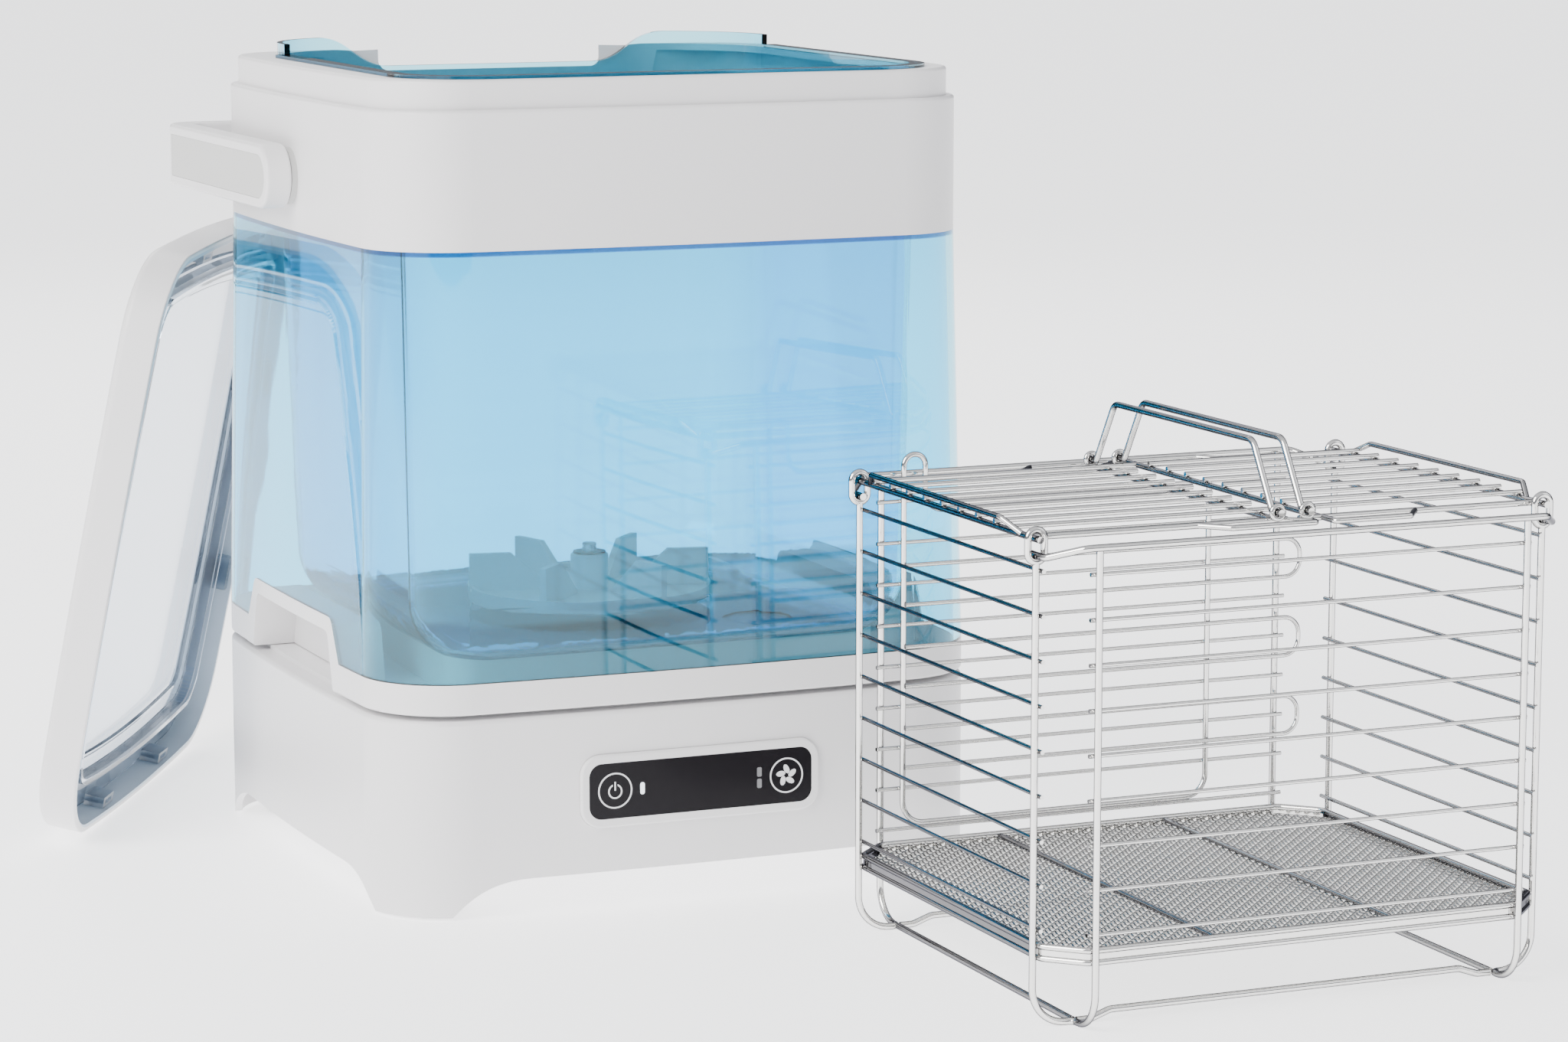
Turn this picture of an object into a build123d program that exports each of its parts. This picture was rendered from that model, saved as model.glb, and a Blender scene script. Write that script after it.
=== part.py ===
"""Resin wash station: base unit, wash bucket, carry handle, lid and drain basket.

Millimetres, +Z up. The origin is the centre of the base's footprint on the surface it stands
on, X runs to the right along the control-panel face and Y runs to the back. The lid leans
against the left rear corner of the unit and the basket stands in front of it.
"""
from build123d import *
import math
import os

os.makedirs("parts", exist_ok=True)

# ---------------------------------------------------------------- driving dimensions
# whole unit
unit_width = 230.0          # band, left to right
unit_depth = 220.0          # band, front to back
base_flare = 2.95           # how far the base stands out past the band on every side
corner_radius = 32.0        # plan radius of the vertical corners
side_bow = 3.8              # how far each side bulges between its corners
wall = 2.6                  # moulded outer walls
part_gap = 0.3              # between bodies that lift apart
weld_sink = 0.2             # how far welded wires melt into each other

# heights above the table
skirt_lift = 1.2            # tray skirt above the table
foot_pad = 3.0              # rubber pad thickness
arch_z = 13.5               # underside of the tray between its feet
tray_plate = 2.5            # tray floor thickness
seam_z = 21.0               # joint between bottom tray and housing
base_top_z = 71.7           # top edge of the base housing
deck = 3.0                  # housing top plate
seat_rise = 1.6             # raised seat that carries the bucket
skirt_height = 11.1         # white bucket skirt below the blue shell
shell_height = 151.5        # blue shell
band_height = 48.9          # white band up to its shoulder
ring_height = 10.4          # inset ring above the shoulder
ring_inset = 2.8

# control panel
panel_width, panel_height, panel_radius = 92.0, 26.5, 7.6
panel_z = 43.0
glass_width, glass_height, glass_radius = 86.0, 20.2, 4.8
glass_thickness = 1.8
bezel_proud = 1.2
glass_sunk = 0.3
key_offset = 33.1           # each round key from the panel's middle
key_radius = 6.5
legend_line = 0.55
legend_proud = 0.15

# drive
motor_radius, motor_height = 21.0, 22.0
shaft_radius = 1.6
running_gap = 0.05
rotor_radius, rotor_thickness = 28.0, 5.0
rotor_gap = 1.5             # magnet rotor below the deck
bracket_radius, bracket_plate = 44.0, 2.0
bracket_post_circle = 38.0
magnet_radius, magnet_thickness, magnet_circle = 6.0, 2.5, 20.0

# grip recesses in the sides of the bucket skirt
grip_top_half, grip_bottom_half = 44.0, 50.5
grip_top_z = 95.0
grip_depth = 17.0
grip_wall = 2.2
arch_top_half, arch_bottom_half, arch_top_z = 47.5, 57.0, 100.4

# wash tub
tub_wall = 2.2
tub_floor_z = 86.5
tub_side_gap, tub_front_gap, tub_rear_gap = 20.0, 12.5, 17.0  # band face to the tub at its floor
tub_draft = 3.5             # growth of each half width over the tub's height
spout_draft = 13.0          # growth of the rear wall over the tub's height
tub_front_radius, tub_rear_radius = 26.0, 45.0
tub_floor_radius = 22.0
ear_rise = 5.0              # pour guard above the ring
spout_drop = 6.5            # pour lip below the ring
spout_half, ear_half = 42.0, 72.0
guard_from_rear = 52.0      # pour guard starts this far in front of the band's rear face
flange_width, flange_thickness = 3.5, 1.2
drain_x, drain_from_front, drain_radius = 46.0, 55.0, 13.0
cradle_side_inset, cradle_end_inset, cradle_wall = 11.8, 9.8, 2.4

# impeller
disc_radius, disc_thickness = 46.0, 4.0
disc_lift = 3.5             # disc above the tub's inner floor
rim_width, rim_rise = 2.2, 2.0
hub_radius, hub_rise = 7.2, 13.1
blade_rise, blade_thickness, blade_count, blade_turn = 14.0, 2.6, 6, 47.0
spindle_radius, bush_wall = 2.0, 1.2

# carry handle
pivot_z = 256.0
handle_height, handle_thickness = 23.5, 9.6
handle_side_gap = 2.4
handle_rear_gap = 9.0
pin_radius, flange_radius, collar_radius = 4.0, 6.2, 10.4
inlay_depth, inlay_height = 0.8, 16.0

# lid
lid_height, lid_wall, lid_plate, lid_rim = 14.5, 3.0, 3.0, 14.0
lid_azimuth, lid_lean = 29.9, 11.7
lid_shift = 51.5            # lid's middle from the unit's centre, along the lid's foot line
lid_gap = 4.4               # lets the flared foot of the bucket pass the lid's top edge
window_thickness = 2.2

# basket
basket_x = 125.7
basket_gap = 52.3           # between the unit's front and the basket's rear uprights
basket_width, basket_depth = 187.4, 166.5
corner_pitch = 15.0         # the two uprights of a corner stand this far apart each way
frame_wire, side_wire, rod_wire = 1.2, 0.7, 0.9
wire_count, wire_pitch, lowest_wire_z = 9, 14.6, 32.5
rail_z = 158.4
rim_top_z, rim_bottom_z = 27.3, 23.4
mesh_thickness = 1.4
hinge_z = 159.6
door_rail_y = 64.5
hinge_wire, rail_wire, seam_wire, tab_wire = 1.15, 1.1, 1.05, 1.0
rod_count, rod_pitch = 9, 13.4
grip_axis_z, grip_top = 162.4, 184.0
grip_foot_half, grip_bar_half = 62.5, 49.0
grip_axis_x = 5.5
grip_wire = 1.15

# ---------------------------------------------------------------- worked-out sizes
base_width = unit_width + 2 * base_flare
base_depth = unit_depth + 2 * base_flare
tray_floor_z = arch_z + tray_plate
deck_z = base_top_z - deck
seat_z = base_top_z + seat_rise
bucket_z = seat_z + part_gap
shell_z = base_top_z + skirt_height + 1.9
band_z = shell_z + shell_height
shoulder_z = band_z + band_height
ring_z = shoulder_z + ring_height
ear_z = ring_z + ear_rise
lip_z = ring_z - spout_drop
front_y = base_depth / 2
tub_inner_z = tub_floor_z + 2.5
tub_bottom_half = unit_width / 2 - tub_side_gap
tub_bottom_front = unit_depth / 2 - tub_front_gap
tub_bottom_rear = unit_depth / 2 - tub_rear_gap
guard_start_y = unit_depth / 2 - guard_from_rear
drain_y = drain_from_front - unit_depth / 2
cradle_x, cradle_y = tub_bottom_half - cradle_side_inset, tub_bottom_rear - cradle_end_inset


def bowed_outline(width, depth, inset=0.0):
    """Plan outline of the unit: four gently bulged sides with rounded corners."""
    half_w = width / 2 - inset
    half_d = depth / 2 - inset
    corner_x = half_w - side_bow
    corner_y = half_d - side_bow
    with BuildSketch() as outline:
        with BuildLine():
            ThreePointArc((-corner_x, -corner_y), (0, -half_d), (corner_x, -corner_y))
            ThreePointArc((corner_x, -corner_y), (half_w, 0), (corner_x, corner_y))
            ThreePointArc((corner_x, corner_y), (0, half_d), (-corner_x, corner_y))
            ThreePointArc((-corner_x, corner_y), (-half_w, 0), (-corner_x, -corner_y))
        make_face()
        fillet(outline.vertices(), corner_radius - inset)
    return outline.sketch


def base_outline(inset=0.0):
    return bowed_outline(base_width, base_depth, inset)


def band_outline(inset=0.0):
    return bowed_outline(unit_width, unit_depth, inset)


def finish(piece, name, place=None):
    """Label a finished piece and write it as its own file."""
    solid = piece if place is None else piece.moved(place)
    solid.label = name
    export_step(solid, f"parts/{name}.step")


# ---------------------------------------------------------------- base unit
panel_face_y = front_y + bezel_proud
post_x, post_y = base_width / 2 - 23, 45.0
foot_x, foot_y = base_width / 2 - 26, base_depth / 2 - 26
screw_radius = 1.5
rotor_top_z = deck_z - rotor_gap
bracket_z = rotor_top_z - rotor_thickness - 4.2
jack_x, jack_z, jack_radius = 70.0, 36.0, 5.4
board_z = tray_floor_z + 4.0

# Housing: white moulded box, open below, with a raised seat for the bucket on its deck.
with BuildPart() as base_housing:
    with BuildSketch(Plane.XY.offset(seam_z)):
        add(base_outline())
    extrude(amount=base_top_z - seam_z)
    fillet(base_housing.faces().sort_by(Axis.Z)[-1].edges(), 1.6)
    with BuildSketch(Plane.XY.offset(base_top_z)):
        add(base_outline(7.0))
    extrude(amount=seat_rise)
    with BuildSketch(Plane.XY.offset(seam_z)):
        add(base_outline(wall))
    extrude(amount=deck_z - seam_z, mode=Mode.SUBTRACT)
    with BuildSketch(Plane.XY.offset(tray_floor_z)):
        with Locations([(sx * post_x, sy * post_y) for sx in (-1, 1) for sy in (-1, 1)]):
            Circle(4.5)
    extrude(amount=deck_z - tray_floor_z)
    with BuildSketch(Plane.XY.offset(bracket_z + bracket_plate)):
        with PolarLocations(bracket_post_circle, 3):
            Circle(3.6)
    extrude(amount=deck_z - bracket_z - bracket_plate)
    with BuildSketch(Plane.XY.offset(tray_floor_z)):
        with Locations([(sx * post_x, sy * post_y) for sx in (-1, 1) for sy in (-1, 1)]):
            Circle(screw_radius)
    extrude(amount=12, mode=Mode.SUBTRACT)
    with BuildSketch(Plane.XY.offset(bracket_z + bracket_plate)):
        with PolarLocations(bracket_post_circle, 3):
            Circle(screw_radius)
    extrude(amount=7, mode=Mode.SUBTRACT)
    with BuildSketch(Plane.XZ.offset(front_y - 12)):
        with Locations((0, panel_z)):
            RectangleRounded(panel_width + 0.2, panel_height + 0.2, panel_radius + 0.1)
    extrude(amount=20, mode=Mode.SUBTRACT)
    with BuildSketch(Plane.XZ.offset(12 - front_y)):
        with Locations((jack_x, jack_z)):
            Circle(jack_radius + 0.2)
    extrude(amount=-20, mode=Mode.SUBTRACT)
finish(base_housing.part, "base_housing")


def foot_arch(span):
    """Opening between two feet: flat top that sweeps down to the feet in soft curves."""
    shoulder = span - 30
    with BuildSketch(Plane.XZ) as arch:
        with BuildLine():
            Spline((-span, 0), (-shoulder, arch_z), tangents=[(0.8, 1), (1, 0)])
            Line((-shoulder, arch_z), (shoulder, arch_z))
            Spline((shoulder, arch_z), (span, 0), tangents=[(1, 0), (0.8, -1)])
            Line((span, 0), (-span, 0))
        make_face()
    return arch.sketch


front_arch = extrude(foot_arch(base_width / 2 - 24), amount=base_depth, both=True)
side_arch = extrude(foot_arch(base_depth / 2 - 24), amount=base_width, both=True).rotate(Axis.Z, 90)

# Bottom tray: white skirt with four corner feet and long arches between them.
with BuildPart() as bottom_tray:
    with BuildSketch(Plane.XY.offset(skirt_lift)):
        add(base_outline())
    extrude(amount=seam_z - skirt_lift)
    with BuildSketch(Plane.XY.offset(tray_floor_z)):
        add(base_outline(wall))
    extrude(amount=seam_z - tray_floor_z, mode=Mode.SUBTRACT)
    with BuildSketch(Plane.XY.offset(skirt_lift)):
        add(base_outline(wall))
    extrude(amount=arch_z - skirt_lift, mode=Mode.SUBTRACT)
    add(front_arch, mode=Mode.SUBTRACT)
    add(side_arch, mode=Mode.SUBTRACT)
    with BuildSketch(Plane.XY.offset(foot_pad)):
        with Locations([(sx * foot_x, sy * foot_y) for sx in (-1, 1) for sy in (-1, 1)]):
            Circle(10)
    extrude(amount=arch_z - foot_pad)
    with BuildSketch(Plane.XY.offset(tray_floor_z)):
        with Locations((jack_x - 28, 52), (jack_x + 14, 52), (jack_x - 28, 84), (jack_x + 14, 84)):
            Circle(3)
    extrude(amount=board_z - tray_floor_z)
    with BuildSketch(Plane.XY.offset(arch_z)):
        with Locations([(sx * post_x, sy * post_y) for sx in (-1, 1) for sy in (-1, 1)]):
            Circle(screw_radius)
    extrude(amount=tray_plate, mode=Mode.SUBTRACT)
finish(bottom_tray.part, "bottom_tray")

# Rubber pads glued under the four corner bosses of the tray.
with BuildPart() as rubber_feet:
    with BuildSketch():
        with Locations([(sx * foot_x, sy * foot_y) for sx in (-1, 1) for sy in (-1, 1)]):
            Circle(9)
    extrude(amount=foot_pad)
    chamfer(rubber_feet.faces().group_by(Axis.Z)[0].edges(), 0.6)
finish(rubber_feet.part, "rubber_feet")

# Pan-head screws that pull the tray up against the housing posts.
with BuildPart() as base_screws:
    with BuildSketch(Plane.XY.offset(arch_z - 2)):
        with Locations([(sx * post_x, sy * post_y) for sx in (-1, 1) for sy in (-1, 1)]):
            Circle(3)
    extrude(amount=2)
    with BuildSketch(Plane.XY.offset(arch_z)):
        with Locations([(sx * post_x, sy * post_y) for sx in (-1, 1) for sy in (-1, 1)]):
            Circle(screw_radius)
    extrude(amount=10)
finish(base_screws.part, "base_screws")

# Raised bezel: plugs into the front wall, with a flange behind it and a ledge for the glass.
glass_y = panel_face_y - glass_sunk
with BuildPart() as control_bezel:
    with BuildSketch(Plane.XZ.offset(front_y - 5.2)):
        with Locations((0, panel_z)):
            RectangleRounded(panel_width, panel_height, panel_radius)
    extrude(amount=5.2 + bezel_proud)
    fillet(control_bezel.faces().sort_by(Axis.Y)[0].edges(), 0.9)
    with BuildSketch(Plane.XZ.offset(front_y - 6.8)):
        with Locations((0, panel_z)):
            RectangleRounded(panel_width + 6, panel_height + 6, panel_radius + 3)
    extrude(amount=1.6)
    with BuildSketch(Plane.XZ.offset(glass_y - glass_thickness)):
        with Locations((0, panel_z)):
            RectangleRounded(glass_width, glass_height, glass_radius)
    extrude(amount=glass_thickness + 2, mode=Mode.SUBTRACT)
    with BuildSketch(Plane.XZ.offset(front_y - 7)):
        with Locations((0, panel_z)):
            RectangleRounded(glass_width - 3, glass_height - 3, glass_radius - 1.5)
    extrude(amount=9, mode=Mode.SUBTRACT)
finish(control_bezel.part, "control_bezel")

with BuildPart() as control_glass:
    with BuildSketch(Plane.XZ.offset(glass_y - glass_thickness)):
        with Locations((0, panel_z)):
            RectangleRounded(glass_width, glass_height, glass_radius)
    extrude(amount=glass_thickness)
finish(control_glass.part, "control_glass")

# Touch board behind the glass, inside the bezel's window.
with BuildPart() as control_board:
    with BuildSketch(Plane.XZ.offset(glass_y - glass_thickness - 1.6)):
        with Locations((0, panel_z)):
            Rectangle(glass_width - 6, glass_height - 5)
    extrude(amount=1.6)
    with BuildSketch(Plane.XZ.offset(glass_y - glass_thickness - 5)):
        with Locations((-24, panel_z), (24, panel_z)):
            Rectangle(9, 7)
    extrude(amount=3.4)
finish(control_board.part, "control_board")

# Printed legends: key rings, a power sign and a fan sign.
with BuildPart() as panel_legends:
    with BuildSketch(Plane.XZ.offset(glass_y)):
        with Locations((-key_offset, panel_z), (key_offset, panel_z)):
            Circle(key_radius)
            Circle(key_radius - legend_line, mode=Mode.SUBTRACT)
        with Locations((-key_offset, panel_z - 0.3)):
            Circle(2.7)
            Circle(2.7 - legend_line, mode=Mode.SUBTRACT)
        with Locations((-key_offset, panel_z + 2.4)):
            Rectangle(1.9, 2.2, mode=Mode.SUBTRACT)
        with Locations((-key_offset, panel_z + 1.6)):
            Rectangle(legend_line, 3.2)
        with Locations((key_offset, panel_z)):
            with PolarLocations(2.35, 5, start_angle=90):
                Ellipse(1.75, 1.0, rotation=25)
    extrude(amount=legend_proud)
finish(panel_legends.part, "panel_legends")

# Lit bar beside the power key.
with BuildPart() as status_led:
    with BuildSketch(Plane.XZ.offset(glass_y)):
        with Locations((-key_offset + 10.4, panel_z)):
            SlotOverall(4.4, 1.7, rotation=90)
    extrude(amount=legend_proud)
finish(status_led.part, "status_led")

# Two bars that show the stirring speed.
with BuildPart() as speed_leds:
    with BuildSketch(Plane.XZ.offset(glass_y)):
        with Locations((key_offset - 10.6, panel_z + 2.1), (key_offset - 10.6, panel_z - 2.1)):
            RectangleRounded(1.8, 3.4, 0.5)
    extrude(amount=legend_proud)
finish(speed_leds.part, "speed_leds")

# Motor with its bracket, hung from the deck on three posts.
with BuildPart() as drive_motor:
    with BuildSketch(Plane.XY.offset(bracket_z - motor_height)):
        Circle(motor_radius)
    extrude(amount=motor_height)
    fillet(drive_motor.edges().filter_by(GeomType.CIRCLE), 1.5)
    with BuildSketch(Plane.XY.offset(bracket_z - motor_height)):
        Circle(shaft_radius + running_gap)
    extrude(amount=motor_height, mode=Mode.SUBTRACT)
    with BuildSketch(Plane.XY.offset(bracket_z - 5)):
        with PolarLocations(12, 2):
            Circle(screw_radius)
    extrude(amount=5, mode=Mode.SUBTRACT)
finish(drive_motor.part, "drive_motor")

with BuildPart() as motor_bracket:
    with BuildSketch(Plane.XY.offset(bracket_z)):
        Circle(bracket_radius)
        Circle(6, mode=Mode.SUBTRACT)
        with PolarLocations(bracket_post_circle, 3):
            Circle(screw_radius, mode=Mode.SUBTRACT)
        with PolarLocations(12, 2):
            Circle(screw_radius, mode=Mode.SUBTRACT)
        with PolarLocations(28, 3, start_angle=60):
            Circle(8, mode=Mode.SUBTRACT)
    extrude(amount=bracket_plate)
finish(motor_bracket.part, "motor_bracket")

with BuildPart() as motor_screws:
    with BuildSketch(Plane.XY.offset(bracket_z - 1.8)):
        with PolarLocations(bracket_post_circle, 3):
            Circle(2.8)
    extrude(amount=1.8)
    with BuildSketch(Plane.XY.offset(bracket_z)):
        with PolarLocations(bracket_post_circle, 3):
            Circle(screw_radius)
    extrude(amount=bracket_plate + 6)
    with BuildSketch(Plane.XY.offset(bracket_z + bracket_plate)):
        with PolarLocations(12, 2):
            Circle(2.8)
    extrude(amount=1.4)
    with BuildSketch(Plane.XY.offset(bracket_z - 5)):
        with PolarLocations(12, 2):
            Circle(screw_radius)
    extrude(amount=bracket_plate + 5)
finish(motor_screws.part, "motor_screws")

# Steel shaft and the magnet rotor it carries under the deck.
with BuildPart() as motor_shaft:
    with BuildSketch(Plane.XY.offset(bracket_z - motor_height - 1)):
        Circle(shaft_radius)
    extrude(amount=rotor_top_z - bracket_z + motor_height + 1)
finish(motor_shaft.part, "motor_shaft")

with BuildPart() as magnet_rotor:
    with BuildSketch(Plane.XY.offset(rotor_top_z - rotor_thickness)):
        Circle(rotor_radius)
        Circle(shaft_radius, mode=Mode.SUBTRACT)
    extrude(amount=rotor_thickness)
    with BuildSketch(Plane.XY.offset(rotor_top_z - magnet_thickness)):
        with PolarLocations(magnet_circle, 4):
            Circle(magnet_radius)
    extrude(amount=magnet_thickness, mode=Mode.SUBTRACT)
finish(magnet_rotor.part, "magnet_rotor")

with BuildPart() as rotor_magnets:
    with BuildSketch(Plane.XY.offset(rotor_top_z - magnet_thickness)):
        with PolarLocations(magnet_circle, 4):
            Circle(magnet_radius)
    extrude(amount=magnet_thickness)
finish(rotor_magnets.part, "rotor_magnets")

# Power board on the tray, with its barrel socket in the rear wall.
board_y = base_depth / 2 - 44.95
with BuildPart() as power_board:
    with BuildSketch(Plane.XY.offset(board_z)):
        with Locations((jack_x - 7, board_y)):
            Rectangle(54, 44)
    extrude(amount=1.6)
    with BuildSketch(Plane.XY.offset(board_z + 1.6)):
        with Locations((jack_x - 22, board_y - 6), (jack_x - 22, board_y + 8)):
            Circle(5)
    extrude(amount=12)
    with BuildSketch(Plane.XY.offset(board_z + 1.6)):
        with Locations((jack_x, board_y - 8)):
            Rectangle(14, 14)
    extrude(amount=8)
finish(power_board.part, "power_board")

jack_back_y = base_depth / 2 - 17
with BuildPart() as dc_jack:
    with BuildSketch(Plane.XZ.offset(-jack_back_y)):
        with Locations((jack_x, jack_z)):
            Rectangle(13, 13)
    extrude(amount=-(base_depth / 2 - wall - 2.2 - jack_back_y))
    with BuildSketch(Plane.XZ.offset(-jack_back_y)):
        with Locations((jack_x, jack_z)):
            Circle(jack_radius)
    extrude(amount=-(base_depth / 2 - 0.6 - jack_back_y))
    with BuildSketch(Plane.XZ.offset(-(jack_back_y + 3))):
        with Locations((jack_x, jack_z)):
            Circle(2.75)
            Circle(1.0, mode=Mode.SUBTRACT)
    extrude(amount=-20, mode=Mode.SUBTRACT)
finish(dc_jack.part, "dc_jack")


# ---------------------------------------------------------------- wash bucket
def drafted_shell(inset):
    """Solid of the blue shell: base outline below, band outline above."""
    with BuildPart() as body:
        with BuildSketch(Plane.XY.offset(shell_z)):
            add(base_outline(inset))
        with BuildSketch(Plane.XY.offset(band_z)):
            add(band_outline(inset))
        loft(ruled=True)
    return body.part


def trapezoid_prism(bottom_half, top_half, bottom_z, top_z, radius, reach):
    """Prism along X whose section is a trapezoid with rounded top corners."""
    with BuildPart() as prism:
        with BuildSketch(Plane.YZ) as section:
            with BuildLine():
                Polyline(
                    (-bottom_half, bottom_z),
                    (bottom_half, bottom_z),
                    (top_half, top_z),
                    (-top_half, top_z),
                    close=True,
                )
            make_face()
            fillet(section.vertices().group_by(Axis.Y)[-1], radius)
        extrude(amount=reach, both=True)
    return prism.part


def tub_outline(height, inset=0.0):
    """Plan of the tub at a height: small front corners, wide rear corners."""
    rise = (height - tub_floor_z) / (ear_z - tub_floor_z)
    half_w = tub_bottom_half + tub_draft * rise - inset
    front = tub_bottom_front + tub_draft * rise - inset
    rear = tub_bottom_rear + spout_draft * rise - inset
    with BuildSketch() as outline:
        with BuildLine():
            Polyline((-half_w, -front), (half_w, -front), (half_w, rear), (-half_w, rear), close=True)
        make_face()
        fillet(outline.vertices().group_by(Axis.Y)[0], tub_front_radius - inset)
        fillet(outline.vertices().group_by(Axis.Y)[-1], tub_rear_radius - inset)
    return outline.sketch


def tub_body(bottom, top, inset):
    with BuildPart() as body:
        with BuildSketch(Plane.XY.offset(bottom)):
            add(tub_outline(bottom, inset))
        with BuildSketch(Plane.XY.offset(top)):
            add(tub_outline(top, inset))
        loft(ruled=True)
    return body.part


grip_arch = trapezoid_prism(arch_bottom_half, arch_top_half, shell_z - 1, arch_top_z, 5.0, unit_width)
grip_hole = trapezoid_prism(grip_bottom_half, grip_top_half, bucket_z - 2, grip_top_z, 4.0, unit_width)
grip_liner = trapezoid_prism(
    grip_bottom_half + grip_wall, grip_top_half + grip_wall, bucket_z, grip_top_z + grip_wall, 6.0, unit_width
)
shell_wall = drafted_shell(0) - drafted_shell(wall)
arch_frames = shell_wall & grip_arch
pocket_inner_x = base_width / 2 - grip_depth
pocket_band = Pos(0, 0, bucket_z + 50) * Box(2 * (base_width / 2 - 2), 200, 100)
pocket_core = Pos(0, 0, bucket_z + 50) * Box(2 * (pocket_inner_x - grip_wall), 200, 100)
pocket_void = grip_hole - Pos(0, 0, bucket_z + 50) * Box(2 * pocket_inner_x, 200, 110)

# White skirt: shallow tray under the shell, with an arched hand recess on either side.
with BuildPart() as bucket_skirt:
    with BuildSketch(Plane.XY.offset(bucket_z)):
        add(base_outline())
    extrude(amount=shell_z - bucket_z)
    fillet(bucket_skirt.faces().sort_by(Axis.Z)[0].edges(), 1.0)
    with BuildSketch(Plane.XY.offset(bucket_z + 2.4)):
        add(base_outline(wall))
    extrude(amount=shell_z - bucket_z, mode=Mode.SUBTRACT)
    add((grip_liner & pocket_band) - pocket_core)
    add(arch_frames)
    add(pocket_void, mode=Mode.SUBTRACT)
finish(bucket_skirt.part, "bucket_skirt")

# Blue outer shell: a drafted transparent sleeve that follows the hand recesses.
finish((shell_wall - grip_arch), "outer_shell")

tub_solid = tub_body(tub_floor_z, ear_z, 0)
with BuildPart() as tub_outside:
    add(tub_solid)
    fillet(tub_outside.faces().sort_by(Axis.Z)[0].edges(), tub_floor_radius)

# Rectangular wall on the skirt's floor that props up the tub, cut to the tub's underside.
with BuildPart() as tub_cradle:
    with BuildSketch(Plane.XY.offset(bucket_z + 2.4)):
        RectangleRounded(2 * cradle_x, 2 * cradle_y, 10)
        RectangleRounded(
            2 * (cradle_x - cradle_wall), 2 * (cradle_y - cradle_wall), 7.6, mode=Mode.SUBTRACT
        )
    extrude(amount=tub_floor_z + 3.0 - bucket_z - 2.4)
    add(tub_outside.part, mode=Mode.SUBTRACT)
finish(tub_cradle.part, "tub_cradle")

tub_clearance = tub_body(band_z, ear_z, -0.4)

# White band: upright wall, shoulder, inset ring and top flange with the tub's opening.
with BuildPart() as top_band:
    with BuildSketch(Plane.XY.offset(band_z)):
        add(band_outline())
    extrude(amount=band_height)
    fillet(top_band.faces().sort_by(Axis.Z)[-1].edges(), 1.2)
    with BuildSketch(Plane.XY.offset(shoulder_z - 2)):
        add(band_outline(ring_inset))
    extrude(amount=ring_height + 2)
    fillet(top_band.faces().sort_by(Axis.Z)[-1].edges(), 1.2)
    with BuildSketch(Plane.XY.offset(band_z)):
        add(band_outline(wall))
    extrude(amount=band_height - wall, mode=Mode.SUBTRACT)
    with BuildSketch(Plane.XY.offset(band_z)):
        add(band_outline(ring_inset + wall))
    extrude(amount=band_height + ring_height - wall, mode=Mode.SUBTRACT)
    add(tub_clearance, mode=Mode.SUBTRACT)
    with BuildSketch(Plane.XZ.offset(-unit_depth / 2 + 20)):
        with Locations((0, lip_z + 10)):
            RectangleRounded(2 * spout_half + 8, 24, 4)
    extrude(amount=-40, mode=Mode.SUBTRACT)
    with BuildSketch(Plane.YZ.offset(-unit_width)):
        with Locations((0, pivot_z)):
            Circle(pin_radius)
    extrude(amount=2 * unit_width, mode=Mode.SUBTRACT)
finish(top_band.part, "top_band")

# Profile above the tub's rear edge: low pour lip in the middle, raised guards at the corners.
with BuildPart() as above_guard:
    with BuildSketch(Plane.XZ.offset(-guard_start_y)):
        with BuildLine():
            Line((-spout_half, lip_z), (spout_half, lip_z))
            Spline((spout_half, lip_z), (ear_half, ear_z), tangents=[(1, 0), (1, 0)])
            Line((ear_half, ear_z), (ear_half, ear_z + 10))
            Line((ear_half, ear_z + 10), (-ear_half, ear_z + 10))
            Line((-ear_half, ear_z + 10), (-ear_half, ear_z))
            Spline((-ear_half, ear_z), (-spout_half, lip_z), tangents=[(1, 0), (1, 0)])
        make_face()
    extrude(amount=-unit_depth)

tub_hollow = tub_body(tub_inner_z, ear_z + 0.01, tub_wall)
with BuildPart() as tub_inside:
    add(tub_hollow)
    fillet(tub_inside.faces().sort_by(Axis.Z)[0].edges(), tub_floor_radius - tub_wall)

# Blue wash tub: deep transparent box with a big floor radius, rim flange and rear pour lip.
with BuildPart() as inner_tub:
    add(tub_outside.part)
    add(tub_inside.part, mode=Mode.SUBTRACT)
    with BuildSketch(Plane.XY.offset(ring_z + flange_thickness)):
        with Locations((0, guard_start_y - unit_depth / 2)):
            Rectangle(unit_width, unit_depth)
    extrude(amount=20, mode=Mode.SUBTRACT)
    add(above_guard.part, mode=Mode.SUBTRACT)
    with BuildSketch(Plane.XY.offset(ring_z)):
        add(tub_outline(ring_z, -flange_width))
        add(tub_outline(ring_z, 0.5), mode=Mode.SUBTRACT)
        with Locations((0, guard_start_y + unit_depth / 2)):
            Rectangle(unit_width, unit_depth, mode=Mode.SUBTRACT)
    extrude(amount=flange_thickness)
    with BuildSketch(Plane.XY.offset(tub_inner_z)):
        Circle(6.5)
    extrude(amount=disc_lift - 1.0)
    with BuildSketch(Plane.XY.offset(tub_inner_z - 1.5)):
        Circle(spindle_radius)
    extrude(amount=10, mode=Mode.SUBTRACT)
    with BuildSketch(Plane.XY.offset(tub_inner_z - 0.9)):
        with Locations((drain_x, drain_y)):
            Circle(drain_radius)
    extrude(amount=0.9, mode=Mode.SUBTRACT)
finish(inner_tub.part, "inner_tub")

disc_z = tub_inner_z + disc_lift
hub_top_z = disc_z + disc_thickness + hub_rise

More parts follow.
